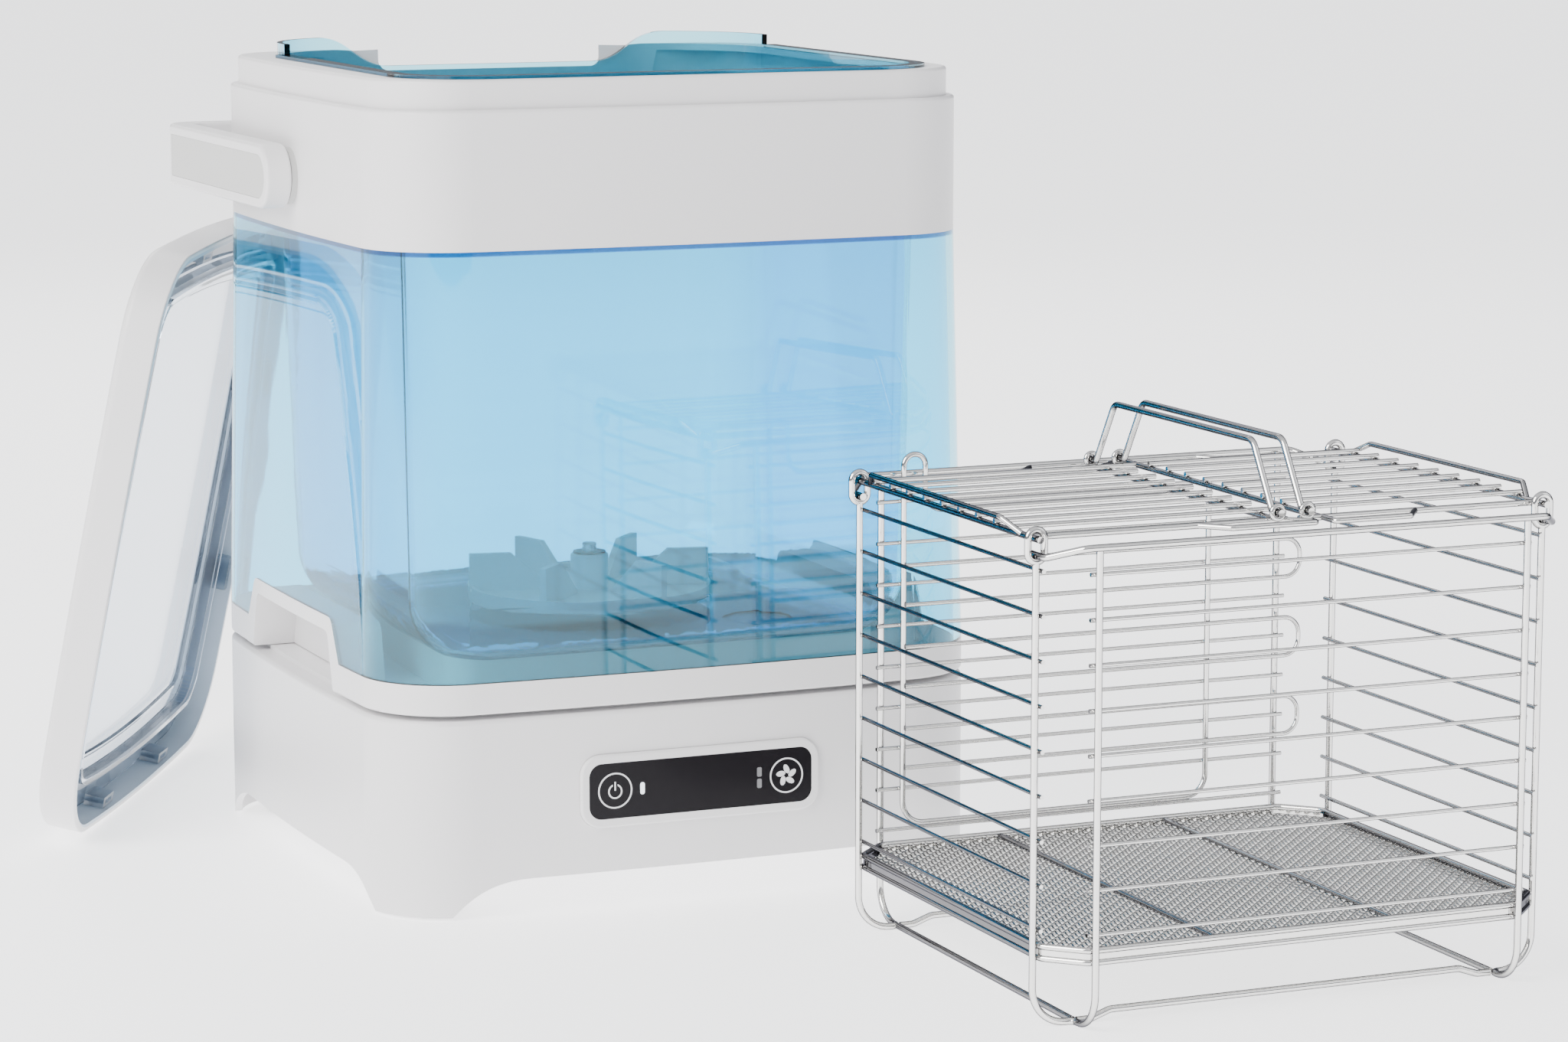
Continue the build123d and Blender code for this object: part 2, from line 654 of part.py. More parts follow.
# Fixed stainless spindle in the tub floor, with a washer and a grooved nut that hold the impeller.
with BuildPart() as impeller_spindle:
    with BuildSketch(Plane.XY.offset(tub_inner_z - 1.5)):
        Circle(spindle_radius)
    extrude(amount=hub_top_z + 1.2 - tub_inner_z + 1.5)
finish(impeller_spindle.part, "impeller_spindle")

with BuildPart() as spindle_washer:
    with BuildSketch(Plane.XY.offset(hub_top_z + part_gap)):
        Circle(hub_radius - 1.0)
        Circle(spindle_radius, mode=Mode.SUBTRACT)
    extrude(amount=0.5)
finish(spindle_washer.part, "spindle_washer")

with BuildPart() as spindle_nut:
    with BuildSketch(Plane.XY.offset(hub_top_z + part_gap + 0.5)):
        Circle(2.7)
    extrude(amount=3.2)
    chamfer(spindle_nut.faces().sort_by(Axis.Z)[-1].edges(), 0.4)
    with BuildSketch(Plane.XY.offset(hub_top_z + part_gap + 0.5)):
        Circle(spindle_radius)
    extrude(amount=1.2 - part_gap - 0.5, mode=Mode.SUBTRACT)
    with BuildSketch(Plane.XY.offset(hub_top_z + part_gap + 2.0)):
        Circle(3)
        Circle(2.3, mode=Mode.SUBTRACT)
    extrude(amount=0.5, mode=Mode.SUBTRACT)
finish(spindle_nut.part, "spindle_nut")

# Impeller: disc with a raised rim, six slanted vanes and a hub with a pressed-in bush.
blade_start, blade_flat, blade_end = 15.0, 30.0, disc_radius - 0.6
disc_top_z = disc_z + disc_thickness
with BuildPart() as impeller:
    with BuildSketch(Plane.XY.offset(disc_z)):
        Circle(disc_radius)
    extrude(amount=disc_thickness)
    fillet(impeller.faces().sort_by(Axis.Z)[0].edges(), 1.2)
    with BuildSketch(Plane.XY.offset(disc_top_z)):
        Circle(disc_radius)
        Circle(disc_radius - rim_width, mode=Mode.SUBTRACT)
    extrude(amount=rim_rise)
    with BuildSketch(Plane.XY.offset(disc_top_z)):
        Circle(hub_radius)
    extrude(amount=hub_rise)
    fillet(impeller.faces().sort_by(Axis.Z)[-1].edges(), 0.9)
    for blade in range(blade_count):
        blade_plane = Plane.XZ.rotated((0, 0, blade_turn + blade * 360 / blade_count))
        with BuildSketch(blade_plane):
            with BuildLine():
                Polyline(
                    (blade_start, disc_top_z - 0.5),
                    (blade_end, disc_top_z - 0.5),
                    (blade_end, disc_top_z + blade_rise),
                    (blade_flat, disc_top_z + blade_rise),
                    (blade_start, disc_top_z + 1),
                    close=True,
                )
            make_face()
        extrude(amount=blade_thickness / 2, both=True)
    with BuildSketch(Plane.XY.offset(disc_z)):
        Circle(spindle_radius + running_gap + bush_wall)
    extrude(amount=60, mode=Mode.SUBTRACT)
    with BuildSketch(Plane.XY.offset(disc_z + 0.8)):
        with PolarLocations(magnet_circle, 4):
            Circle(magnet_radius)
    extrude(amount=magnet_thickness, mode=Mode.SUBTRACT)
finish(impeller.part, "impeller")

with BuildPart() as impeller_magnets:
    with BuildSketch(Plane.XY.offset(disc_z + 0.8)):
        with PolarLocations(magnet_circle, 4):
            Circle(magnet_radius)
    extrude(amount=magnet_thickness)
finish(impeller_magnets.part, "impeller_magnets")

with BuildPart() as impeller_bush:
    with BuildSketch(Plane.XY.offset(disc_z)):
        Circle(spindle_radius + running_gap + bush_wall)
        Circle(spindle_radius + running_gap, mode=Mode.SUBTRACT)
    extrude(amount=hub_top_z - disc_z)
finish(impeller_bush.part, "impeller_bush")

# ---------------------------------------------------------------- carry handle
arm_inner_x = unit_width / 2 + handle_side_gap
arm_outer_x = arm_inner_x + handle_thickness
bar_inner_y = unit_depth / 2 + handle_rear_gap
bar_outer_y = bar_inner_y + handle_thickness
with BuildPart() as carry_handle:
    with BuildSketch(Plane.XY.offset(pivot_z - handle_height / 2)) as handle_plan:
        with Locations((0, (bar_outer_y - 40) / 2)):
            Rectangle(2 * arm_outer_x, bar_outer_y + 40)
        fillet(handle_plan.vertices().group_by(Axis.Y)[-1], 13)
        with BuildSketch(mode=Mode.PRIVATE) as handle_void:
            with Locations((0, (bar_inner_y - 50) / 2)):
                Rectangle(2 * arm_inner_x, bar_inner_y + 50)
            fillet(handle_void.vertices().group_by(Axis.Y)[-1], 5)
        add(handle_void.sketch, mode=Mode.SUBTRACT)
    extrude(amount=handle_height)
    with BuildSketch(Plane.YZ.offset(-unit_width)):
        with Locations((0, pivot_z)):
            Circle(handle_height / 2)
        with Locations((unit_depth / 2, pivot_z)):
            Rectangle(unit_depth, handle_height)
    extrude(amount=2 * unit_width, mode=Mode.INTERSECT)
    fillet(carry_handle.edges(), 1.3)
    for side in (-1, 1):
        with BuildSketch(Plane.YZ.offset(side * (arm_outer_x - inlay_depth))):
            with Locations((0, pivot_z)):
                Circle(inlay_height / 2)
            with Locations(((bar_outer_y - 13) / 2, pivot_z)):
                Rectangle(bar_outer_y - 13, inlay_height)
        extrude(amount=side * 5, mode=Mode.SUBTRACT)
        with BuildSketch(Plane.YZ.offset(side * (arm_inner_x - 1))):
            with Locations((0, pivot_z)):
                Circle(pin_radius + running_gap)
        extrude(amount=side * 7.5, mode=Mode.SUBTRACT)
finish(carry_handle.part, "carry_handle")

# Grey strips let into the outer faces of the handle's arms.
with BuildPart() as handle_inlays:
    for side in (-1, 1):
        with BuildSketch(Plane.YZ.offset(side * (arm_outer_x - inlay_depth))):
            with Locations((0, pivot_z)):
                Circle(inlay_height / 2 - 0.1)
            with Locations(((bar_outer_y - 13.2) / 2, pivot_z)):
                Rectangle(bar_outer_y - 13.2, inlay_height - 0.2)
        extrude(amount=side * (inlay_depth - 0.1))
finish(handle_inlays.part, "handle_inlays")

# Flanged pins through the band's side walls, with a collar that spaces the arm off the band.
with BuildPart() as handle_pins:
    for side in (-1, 1):
        with BuildSketch(Plane.YZ.offset(side * (unit_width / 2 - wall - 2))):
            with Locations((0, pivot_z)):
                Circle(flange_radius)
        extrude(amount=side * 2)
        with BuildSketch(Plane.YZ.offset(side * (unit_width / 2 - wall))):
            with Locations((0, pivot_z)):
                Circle(pin_radius)
        extrude(amount=side * (wall + handle_side_gap + 5.5))
        with BuildSketch(Plane.YZ.offset(side * (unit_width / 2 - 0.05))):
            with Locations((0, pivot_z)):
                Circle(collar_radius)
        extrude(amount=side * (handle_side_gap - part_gap + 0.05))
finish(handle_pins.part, "handle_pins")

# ---------------------------------------------------------------- lid
azimuth = math.radians(lid_azimuth)
lean = math.radians(lid_lean)
along = Vector(math.sin(azimuth), math.cos(azimuth), 0)
toward = Vector(math.cos(azimuth), -math.sin(azimuth), 0)
upward = Vector(0, 0, 1) * math.cos(lean) + toward * math.sin(lean)
outward = Vector(0, 0, 1) * math.sin(lean) - toward * math.cos(lean)
corner_reach = -band_outline().rotate(Axis.Z, lid_azimuth).bounding_box().min.X
reach_back = corner_reach + lid_gap + unit_width * math.sin(lean)
lid_top_z = unit_width * math.cos(lean)
if lid_top_z > pivot_z - handle_height / 2 - lid_gap:
    handle_reach = -carry_handle.part.rotate(Axis.Z, lid_azimuth).bounding_box().min.X
    touch_z = min(lid_top_z, pivot_z + handle_height / 2)
    reach_back = max(reach_back, handle_reach + lid_gap + touch_z * math.tan(lean))
lid_foot = along * lid_shift - toward * reach_back + Vector(0, 0, 0.02)
lid_place = Plane(origin=lid_foot + upward * (unit_width / 2), x_dir=upward, z_dir=outward).location

# Rim: white frame with a deep edge all round and a wide opening for the window.
with BuildPart() as lid_frame:
    with BuildSketch():
        add(band_outline())
    extrude(amount=lid_height)
    fillet(lid_frame.faces().sort_by(Axis.Z)[-1].edges(), 3.0)
    fillet(lid_frame.faces().sort_by(Axis.Z)[0].edges(), 0.6)
    with BuildSketch():
        add(band_outline(lid_wall))
    extrude(amount=lid_height - lid_plate, mode=Mode.SUBTRACT)
    with BuildSketch():
        add(band_outline(lid_rim))
    extrude(amount=lid_height, mode=Mode.SUBTRACT)
finish(lid_frame.part, "lid_frame", lid_place)

# Window: clear pan fixed under the frame, stepped up in the middle, with a sealing rib.
window_z = lid_height - lid_plate - window_thickness
with BuildPart() as lid_window:
    with BuildSketch(Plane.XY.offset(window_z)):
        add(band_outline(lid_wall + 1.2))
    extrude(amount=window_thickness)
    with BuildSketch(Plane.XY.offset(window_z)):
        add(band_outline(lid_rim + 9))
    extrude(amount=window_thickness + 2.4)
    with BuildSketch(Plane.XY.offset(window_z)):
        add(band_outline(lid_rim + 11))
    extrude(amount=2.4, mode=Mode.SUBTRACT)
    with BuildSketch(Plane.XY.offset(window_z - 6)):
        add(band_outline(lid_rim + 3))
        add(band_outline(lid_rim + 5), mode=Mode.SUBTRACT)
    extrude(amount=6)
finish(lid_window.part, "lid_window", lid_place)

# Soft seal pushed onto the window's rib.
with BuildPart() as lid_seal:
    with BuildSketch(Plane.XY.offset(window_z - 4)):
        add(band_outline(lid_rim + 0.6))
        add(band_outline(lid_rim + 3), mode=Mode.SUBTRACT)
    extrude(amount=4)
finish(lid_seal.part, "lid_seal", lid_place)

# Snap catches on the inside of the rim, each with a small square socket.
with BuildPart() as lid_catches:
    for turn, span in ((0, unit_width), (90, unit_depth), (180, unit_width), (270, unit_depth)):
        with BuildSketch(Plane.XY.offset(1.5).rotated((0, 0, turn))):
            for shift in (-42, 42):
                with Locations((span / 2 - lid_wall - 3.4, shift)):
                    Rectangle(4.2, 14)
                with Locations((span / 2 - lid_wall - 3.4, shift)):
                    Rectangle(1.8, 9, mode=Mode.SUBTRACT)
        extrude(amount=window_z - 1.5)
finish(lid_catches.part, "lid_catches", lid_place)

# ---------------------------------------------------------------- basket
half_w, half_d = basket_width / 2, basket_depth / 2
side_y = half_d - corner_pitch      # uprights in the left and right faces
face_x = half_w - corner_pitch      # uprights in the front and rear faces
basket_place = Location((basket_x, -front_y - basket_gap - half_d, 0))
quarter_turns = [(sx, sy) for sx in (-1, 1) for sy in (-1, 1)]


def wire(points, radii, thickness, closed=False):
    """Round wire bent along a path of straight runs and arcs."""
    with BuildLine() as route:
        FilletPolyline(*points, radius=radii, close=closed)
    path = route.wires()[0]
    start = path ^ 0
    with BuildPart() as bent:
        with BuildSketch(Plane(origin=start.position, z_dir=start.z_axis.direction)):
            Circle(thickness)
        sweep(path=path, transition=Transition.ROUND)
    return bent.part


def bar(start, end, thickness):
    """Straight wire between two points."""
    axis = Vector(*end) - Vector(*start)
    with BuildPart() as rod:
        with BuildSketch(Plane(origin=start, z_dir=axis)):
            Circle(thickness)
        extrude(amount=axis.length)
    return rod.part


def ring(centre, half_width, half_height, thickness):
    """Upright closed loop of wire in the XZ direction, drawn as a slot or a circle."""
    x, y, z = centre
    with BuildPart() as loop:
        if half_height > half_width:
            straight = half_height - half_width
            with BuildLine(Plane.XZ.offset(-y)) as route:
                right = Line((x + half_width, z - straight), (x + half_width, z + straight))
                over = TangentArc(right @ 1, (x - half_width, z + straight), tangent=right % 1)
                left = Line(over @ 1, (x - half_width, z - straight))
                TangentArc(left @ 1, right @ 0, tangent=left % 1)
            path = route.wires()[0]
            with BuildSketch(Plane.XY.offset(z - straight)):
                with Locations((x + half_width, y)):
                    Circle(thickness)
            sweep(path=path)
        else:
            with Locations(Location(centre, (90, 0, 0))):
                Torus(half_width, thickness)
    return loop.part


def group(name, pieces):
    """Separate solids of one kind, written as one node of the basket."""
    finish(Compound(children=list(pieces)), name, basket_place)


# Corner legs: one wire each, down the face, in under the floor, out and up to a hinge eye.
eye_half_w, eye_half_h = 2.9, 5.2
eye_z = hinge_z - 2.2
legs = []
for sx, sy in quarter_turns:
    leg = wire(
        [
            (sx * face_x, sy * half_d, rail_z - 0.4),
            (sx * face_x, sy * half_d, frame_wire),
            (sx * face_x, sy * side_y, frame_wire),
            (sx * half_w, sy * side_y, frame_wire),
            (sx * half_w, sy * side_y, eye_z - eye_half_h),
        ],
        [12.0, 2.4, 12.0],
        frame_wire,
    )
    legs.append(leg + ring((sx * half_w, sy * side_y, eye_z), eye_half_w, eye_half_h, frame_wire))
group("corner_legs", legs)

# Top rails: front and rear wires that dip at both ends into the hinge eyes.
rail_y = half_d + 2 * frame_wire - weld_sink
dip_z = eye_z - eye_half_h + 2 * frame_wire - weld_sink
rails = []
for sy in (-1, 1):
    rails.append(
        wire(
            [
                (-half_w, sy * (side_y - 3.2), dip_z),
                (-half_w, sy * (side_y + 6.3), dip_z),
                (-half_w + 9.2, sy * rail_y, rail_z),
                (half_w - 9.2, sy * rail_y, rail_z),
                (half_w, sy * (side_y + 6.3), dip_z),
                (half_w, sy * (side_y - 3.2), dip_z),
            ],
            [3.0, 4.0, 4.0, 3.0],
            frame_wire,
        )
    )
group("top_rails", rails)

# Side wires: nine level rods welded inside the uprights of every face.
levels = [lowest_wire_z + row * wire_pitch for row in range(wire_count)]
side_x = half_w - frame_wire - side_wire + weld_sink
end_y = half_d - frame_wire - side_wire + weld_sink
for name, sx in (("left_wires", -1), ("right_wires", 1)):
    group(name, [bar((sx * side_x, -side_y - 2.4, z), (sx * side_x, side_y + 2.4, z), side_wire) for z in levels])
for name, sy in (("front_wires", -1), ("rear_wires", 1)):
    group(name, [bar((-face_x - 2.4, sy * end_y, z), (face_x + 2.4, sy * end_y, z), side_wire) for z in levels])

# Foot rails: level wires between the leg bends, the front and rear ones stepped up.
inner_x, inner_y = face_x - frame_wire + weld_sink, side_y - frame_wire + weld_sink
foot_rails = []
for sy in (-1, 1):
    foot_rails.append(
        wire(
            [
                (-inner_x, sy * side_y, frame_wire),
                (-inner_x + 5, sy * side_y, frame_wire),
                (-inner_x + 12, sy * side_y, 3 * frame_wire),
                (inner_x - 12, sy * side_y, 3 * frame_wire),
                (inner_x - 5, sy * side_y, frame_wire),
                (inner_x, sy * side_y, frame_wire),
            ],
            [4.0, 4.0, 4.0, 4.0],
            frame_wire,
        )
    )
for sx in (-1, 1):
    foot_rails.append(bar((sx * face_x, -inner_y, frame_wire), (sx * face_x, inner_y, frame_wire), frame_wire))
group("foot_rails", foot_rails)

# Floor: two rim wires with a strip between them, woven mesh and two cross bars.
rim_wire = 1.1
rim_x = half_w - frame_wire - rim_wire + weld_sink
rim_y = half_d - frame_wire - rim_wire + weld_sink
cut_x, cut_y = face_x + 1.0, side_y + 1.0
rim_plan = [
    (-cut_x, -rim_y), (cut_x, -rim_y), (rim_x, -cut_y), (rim_x, cut_y),
    (cut_x, rim_y), (-cut_x, rim_y), (-rim_x, cut_y), (-rim_x, -cut_y),
]


def rim_outline(inset):
    """Plan inside the rim wires: a rectangle with its corners cut off."""
    with BuildSketch() as plan:
        with BuildLine():
            Polyline(*rim_plan, close=True)
        make_face()
        fillet(plan.vertices(), 5.0)
        offset(amount=-inset)
    return plan.sketch


def rim_loop(z):
    return wire([(x, y, z) for x, y in rim_plan], 5.0, rim_wire, closed=True)


group("floor_rim", [rim_loop(rim_top_z), rim_loop(rim_bottom_z)])

with BuildPart() as rim_strip:
    with BuildSketch(Plane.XY.offset(rim_bottom_z)):
        add(rim_outline(-0.35))
        add(rim_outline(0.35), mode=Mode.SUBTRACT)
    extrude(amount=rim_top_z - rim_bottom_z)
finish(rim_strip.part, "rim_strip", basket_place)

mesh_z = (rim_top_z + rim_bottom_z) / 2 - mesh_thickness / 2
with BuildPart() as floor_mesh:
    with BuildSketch(Plane.XY.offset(mesh_z)):
        add(rim_outline(0.35))
    extrude(amount=mesh_thickness)
finish(floor_mesh.part, "floor_mesh", basket_place)

bar_z = mesh_z + mesh_thickness + rod_wire - weld_sink
bar_end = rim_y - 0.35
group("floor_bars", [bar((x, -bar_end, bar_z), (x, bar_end, bar_z), rod_wire) for x in (-33, 33)])

# Hanging frame inside the rear face: one bent wire with a hook above the rail.
hang_wire = 1.0
hang_y = end_y - side_wire - hang_wire + weld_sink
hang_left, hang_right, hook_x = 22.2 - half_w, half_w - 44.7, 30.4 - half_w
group(
    "hanging_frame",
    [
        wire(
            [
                (hang_right, hang_y, 150.0),
                (hang_right, hang_y, 34.5),
                (hang_left, hang_y, 34.5),
                (hang_left, hang_y, 165.8),
                (hook_x, hang_y, 165.8),
                (hook_x, hang_y, 145.8),
                (hang_right - 8, hang_y, 145.8),
            ],
            [8.0, 8.0, 4.0, 4.0, 7.0],
            hang_wire,
        )
    ],
)

# Hairpin rungs welded across the hanging frame.
rung_wire = 0.8
rung_y = hang_y - hang_wire - rung_wire + weld_sink
hairpins = []
for low in (55.0, 84.0, 113.0):
    high = low + wire_pitch - 0.6
    bulge = half_w - 7.9
    hairpins.append(
        wire(
            [(hang_left, rung_y, low), (bulge, rung_y, low), (bulge, rung_y, high), (hang_left, rung_y, high)],
            [6.0, 6.0],
            rung_wire,
        )
    )
group("hanging_rungs", hairpins)


# Doors: wire frames hinged in the corner eyes, meeting in the middle of the top.
def door(sx, seam_x, rail_end_x, tab):
    """One top door frame with its hinge rod, lever bar, finger tabs and handle eyes."""
    hinge_x = sx * half_w
    lever_x = hinge_x + sx * 3.8
    pieces = bar((hinge_x, -side_y - 3.2, hinge_z), (hinge_x, side_y + 3.2, hinge_z), hinge_wire)
    pieces += wire(
        [
            (hinge_x, -59.0, hinge_z),
            (lever_x, -50.0, hinge_z + 4.6),
            (lever_x, 50.0, hinge_z + 4.6),
            (hinge_x, 59.0, hinge_z),
        ],
        [3.0, 3.0],
        tab_wire,
    )
    for sy in (-1, 1):
        pieces += bar((hinge_x, sy * door_rail_y, hinge_z), (rail_end_x, sy * door_rail_y, hinge_z), rail_wire)
        pieces += wire([(x, sy * y, hinge_z) for x, y in tab], 1.2, tab_wire)
        pieces += ring((sx * grip_axis_x, sy * (door_rail_y + 1.7), grip_axis_z), 2.15, 0, 0.9)
    pieces += bar((seam_x, -door_rail_y, hinge_z), (seam_x, door_rail_y, hinge_z), seam_wire)
    return pieces


rod_z = hinge_z + hinge_wire + rod_wire - weld_sink
rod_rows = [(row - (rod_count - 1) / 2) * rod_pitch for row in range(rod_count)]
left_tab = [(-34.0, door_rail_y), (-26.0, 73.5), (5.0, 73.5), (5.0, 71.0), (-3.0, door_rail_y)]
right_tab = [(12.0, door_rail_y), (12.0, 73.5), (40.0, 73.5), (47.0, door_rail_y)]
for name, sx, seam_x, rail_end_x, rod_end_x, tab in (
    ("left_door", -1, -4.6, -1.0, -1.0, left_tab),
    ("right_door", 1, 11.6, 3.2, 10.4, right_tab),
):
    group(f"{name}_frame", [door(sx, seam_x, rail_end_x, tab)])
    hinge_end = sx * (half_w + 1.3)
    group(f"{name}_rods", [bar((hinge_end, y, rod_z), (rod_end_x, y, rod_z), rod_wire) for y in rod_rows])
    group(
        f"{name}_handle",
        [
            wire(
                [
                    (sx * grip_axis_x, -door_rail_y - 4.4, grip_axis_z),
                    (sx * grip_axis_x, -grip_foot_half, grip_axis_z),
                    (sx * grip_axis_x, -grip_bar_half, grip_top),
                    (sx * grip_axis_x, grip_bar_half, grip_top),
                    (sx * grip_axis_x, grip_foot_half, grip_axis_z),
                    (sx * grip_axis_x, door_rail_y + 4.4, grip_axis_z),
                ],
                [2.0, 5.0, 5.0, 2.0],
                grip_wire,
            )
        ],
    )
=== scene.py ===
"""Looks of the resin wash station: unit with bucket and tub, leaning lid and wire basket.

The sections follow the object as it is put together: table and light, base unit, control panel,
drive, bucket, stirrer, carry handle, lid, basket and its doors. Everything is in metres.
"""
import math

import bpy
from mathutils import Matrix, Vector


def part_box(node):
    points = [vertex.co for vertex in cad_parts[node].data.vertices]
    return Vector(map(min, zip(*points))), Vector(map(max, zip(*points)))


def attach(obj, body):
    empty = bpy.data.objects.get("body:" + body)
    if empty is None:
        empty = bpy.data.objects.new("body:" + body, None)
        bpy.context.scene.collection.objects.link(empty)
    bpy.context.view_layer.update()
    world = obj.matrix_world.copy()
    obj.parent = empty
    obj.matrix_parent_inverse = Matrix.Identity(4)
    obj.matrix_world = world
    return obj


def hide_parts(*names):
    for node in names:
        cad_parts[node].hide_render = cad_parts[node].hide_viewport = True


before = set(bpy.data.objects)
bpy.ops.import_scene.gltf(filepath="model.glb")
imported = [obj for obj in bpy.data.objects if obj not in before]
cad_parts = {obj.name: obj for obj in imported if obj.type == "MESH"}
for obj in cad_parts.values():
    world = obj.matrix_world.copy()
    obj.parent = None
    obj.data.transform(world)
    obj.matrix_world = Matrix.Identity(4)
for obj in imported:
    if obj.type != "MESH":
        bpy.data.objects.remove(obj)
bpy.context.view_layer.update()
bpy.ops.object.select_all(action="DESELECT")


# ---------------------------------------------------------------- table, light and camera
# A pale matt table top that glows softly, a room that brightens from the horizon upwards, a
# large soft lamp on the left, weaker lamps on the right and behind, and a long-lens camera a
# little above the height of the unit.
def shader_node(tree, kind, x, y, **values):
    """Adds a node to a material and sets its sockets and properties."""
    node = tree.nodes.new(kind)
    node.location = (x, y)
    for key, value in values.items():
        if key in node.inputs:
            node.inputs[key].default_value = value
        else:
            setattr(node, key, value)
    return node


def fresh_material(name):
    """An empty material with its shader, output and object coordinates."""
    material = bpy.data.materials.new(name)
    material.use_nodes = True
    tree = material.node_tree
    tree.nodes.clear()
    output = shader_node(tree, "ShaderNodeOutputMaterial", 600, 0)
    shader = shader_node(tree, "ShaderNodeBsdfPrincipled", 300, 0)
    place = shader_node(tree, "ShaderNodeTexCoord", -900, 0)
    tree.links.new(shader.outputs["BSDF"], output.inputs["Surface"])
    return material, tree, shader, place


def mottle(tree, place, shader, colour, shade, scale):
    """Slow variation of the surface colour between a colour and a slightly different shade."""
    cloud = shader_node(tree, "ShaderNodeTexNoise", -600, 200, Scale=scale, Detail=3.0)
    blend = shader_node(tree, "ShaderNodeMix", -200, 200, data_type="RGBA")
    blend.inputs["A"].default_value = (*colour, 1)
    blend.inputs["B"].default_value = (*shade, 1)
    tree.links.new(place.outputs["Object"], cloud.inputs["Vector"])
    tree.links.new(cloud.outputs["Fac"], blend.inputs["Factor"])
    tree.links.new(blend.outputs["Result"], shader.inputs["Base Color"])


def grain(tree, place, shader, scale, depth, polish, scatter):
    """Fine bump and a matching small scatter of the roughness."""
    speckle = shader_node(tree, "ShaderNodeTexNoise", -600, -200, Scale=scale, Detail=4.0)
    bump = shader_node(tree, "ShaderNodeBump", 0, -300, Strength=1.0, Distance=depth)
    spread = shader_node(tree, "ShaderNodeMapRange", -200, -100)
    spread.inputs["To Min"].default_value = polish - scatter
    spread.inputs["To Max"].default_value = polish + scatter
    tree.links.new(place.outputs["Object"], speckle.inputs["Vector"])
    tree.links.new(speckle.outputs["Fac"], bump.inputs["Height"])
    tree.links.new(speckle.outputs["Fac"], spread.inputs["Value"])
    tree.links.new(spread.outputs["Result"], shader.inputs["Roughness"])
    tree.links.new(bump.outputs["Normal"], shader.inputs["Normal"])


table_colour, table_shade = (0.90, 0.90, 0.91), (0.87, 0.87, 0.88)
table_top, table_tree, table_shader, table_place = fresh_material("pale_table")
mottle(table_tree, table_place, table_shader, table_colour, table_shade, 3.0)
grain(table_tree, table_place, table_shader, 900.0, 0.00003, 0.6, 0.05)
table_shader.inputs["Emission Color"].default_value = (1.0, 1.0, 1.0, 1)
table_shader.inputs["Emission Strength"].default_value = 1.7
bpy.ops.mesh.primitive_plane_add(size=14.0, location=(0, 3.0, 0))
table = bpy.context.active_object
table.name = "table_top"
table.data.materials.append(table_top)
bpy.ops.object.select_all(action="DESELECT")

world = bpy.data.worlds.new("soft_room")
bpy.context.scene.world = world
world.use_nodes = True
room = world.node_tree
room_light = room.nodes["Background"]
room_light.inputs["Strength"].default_value = 0.66
room_place = shader_node(room, "ShaderNodeTexCoord", -900, 0)
room_height = shader_node(room, "ShaderNodeSeparateXYZ", -700, 0)
room_fade = shader_node(room, "ShaderNodeMapRange", -500, 0, interpolation_type="SMOOTHSTEP")
room_fade.inputs["From Min"].default_value = 0.02
room_fade.inputs["From Max"].default_value = 0.62
room_tone = shader_node(room, "ShaderNodeMix", -200, 0, data_type="RGBA")
room_tone.inputs["A"].default_value = (0.38, 0.40, 0.44, 1)
room_tone.inputs["B"].default_value = (1.42, 1.44, 1.50, 1)
room.links.new(room_place.outputs["Generated"], room_height.inputs["Vector"])
room.links.new(room_height.outputs["Z"], room_fade.inputs["Value"])
room.links.new(room_fade.outputs["Result"], room_tone.inputs["Factor"])
room.links.new(room_tone.outputs["Result"], room_light.inputs["Color"])


def soft_lamp(name, place, aim, size, power, tint):
    """A square area lamp that looks at a point."""
    lamp = bpy.data.lights.new(name, "AREA")
    lamp.size = size
    lamp.energy = power
    lamp.color = tint
    holder = bpy.data.objects.new(name, lamp)
    bpy.context.scene.collection.objects.link(holder)
    holder.location = place
    holder.rotation_euler = (Vector(aim) - Vector(place)).to_track_quat("-Z", "Y").to_euler()


middle = (0.0, -0.1, 0.12)
soft_lamp("lamp_left", (-1.7, -0.7, 1.25), middle, 1.4, 66.0, (1.0, 0.985, 0.96))
soft_lamp("lamp_right", (1.5, -1.3, 1.0), middle, 1.2, 6.0, (0.95, 0.97, 1.0))
soft_lamp("lamp_behind", (0.4, 1.6, 1.3), middle, 1.4, 18.0, (1.0, 1.0, 1.0))

camera_data = bpy.data.cameras.new("long_lens")
camera_data.lens = 103.08
camera_data.sensor_width = 36.0
camera_data.dof.use_dof = False
camera_data.clip_start, camera_data.clip_end = 0.05, 50.0
camera = bpy.data.objects.new("long_lens", camera_data)
bpy.context.scene.collection.objects.link(camera)
look = Vector((0.3888, 0.9081, -0.1554)).normalized()
camera_right = Vector((0.9193, -0.3936, 0.0)).normalized()
camera_up = camera_right.cross(look).normalized()
camera_right = look.cross(camera_up)
camera_turn = Matrix((camera_right, camera_up, -look)).transposed().to_4x4()
camera.matrix_world = Matrix.Translation((-0.5926, -1.5731, 0.3857)) @ camera_turn
bpy.context.scene.camera = camera


# ---------------------------------------------------------------- base unit
# Tray and housing are satin white moulded plastic, screwed together from below. The tray
# stands on four rubber pads glued into its corner feet.
def dress(material, *names):
    """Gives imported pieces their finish."""
    for name in names:
        for own_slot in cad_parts[name].material_slots:
            own_slot.material = material


